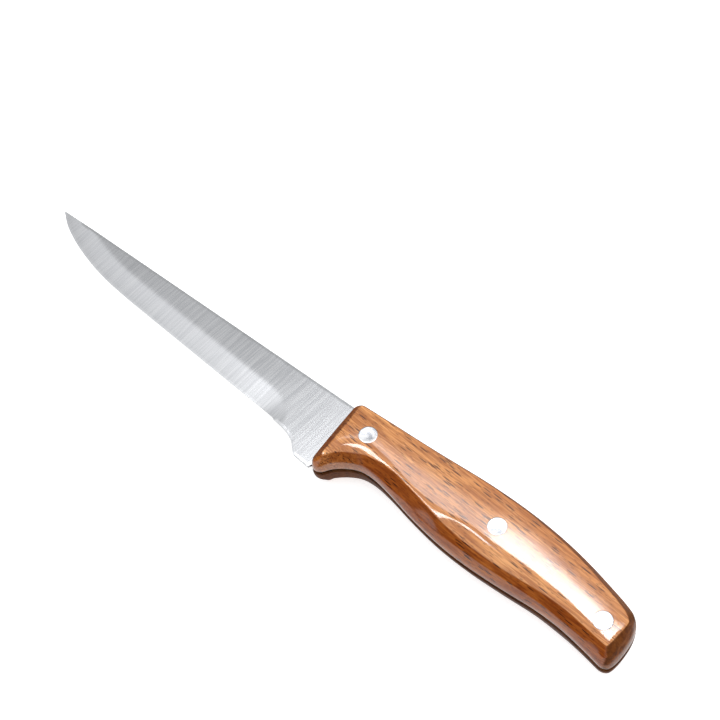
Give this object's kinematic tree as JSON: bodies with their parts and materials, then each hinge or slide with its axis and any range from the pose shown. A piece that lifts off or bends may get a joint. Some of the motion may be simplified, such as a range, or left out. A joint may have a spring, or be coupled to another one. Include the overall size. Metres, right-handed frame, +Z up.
{
  "type": "boning knife",
  "caption": "Slim pointed steel blade with a curved heel and full-length tang, held between two contoured hardwood scales with a finger guard by flush two-piece rivets",
  "frame": {"origin": "centre of the bounding box, on the plane that the knife lies on when it rests on the flat of its left scale", "axes": "+X along the knife from the tip towards the butt, +Y across the blade from the cutting edge towards the spine, +Z up out of the right scale"},
  "size_m": [0.2688, 0.0336, 0.017],
  "materials": {
    "steel": "fine cross-brushed, with a soft grind line",
    "beech": "stained orange-brown beech under gloss lacquer",
    "aluminium": "bright turned rivet metal"
  },
  "bodies": {
    "root": {"blade": "steel", "right_scale": "beech", "left_scale": "beech", "front_rivet_pin_half": "aluminium", "front_rivet_tube_half": "aluminium", "middle_rivet_pin_half": "aluminium", "middle_rivet_tube_half": "aluminium", "rear_rivet_pin_half": "aluminium", "rear_rivet_tube_half": "aluminium"}
  },
  "joints": []
}
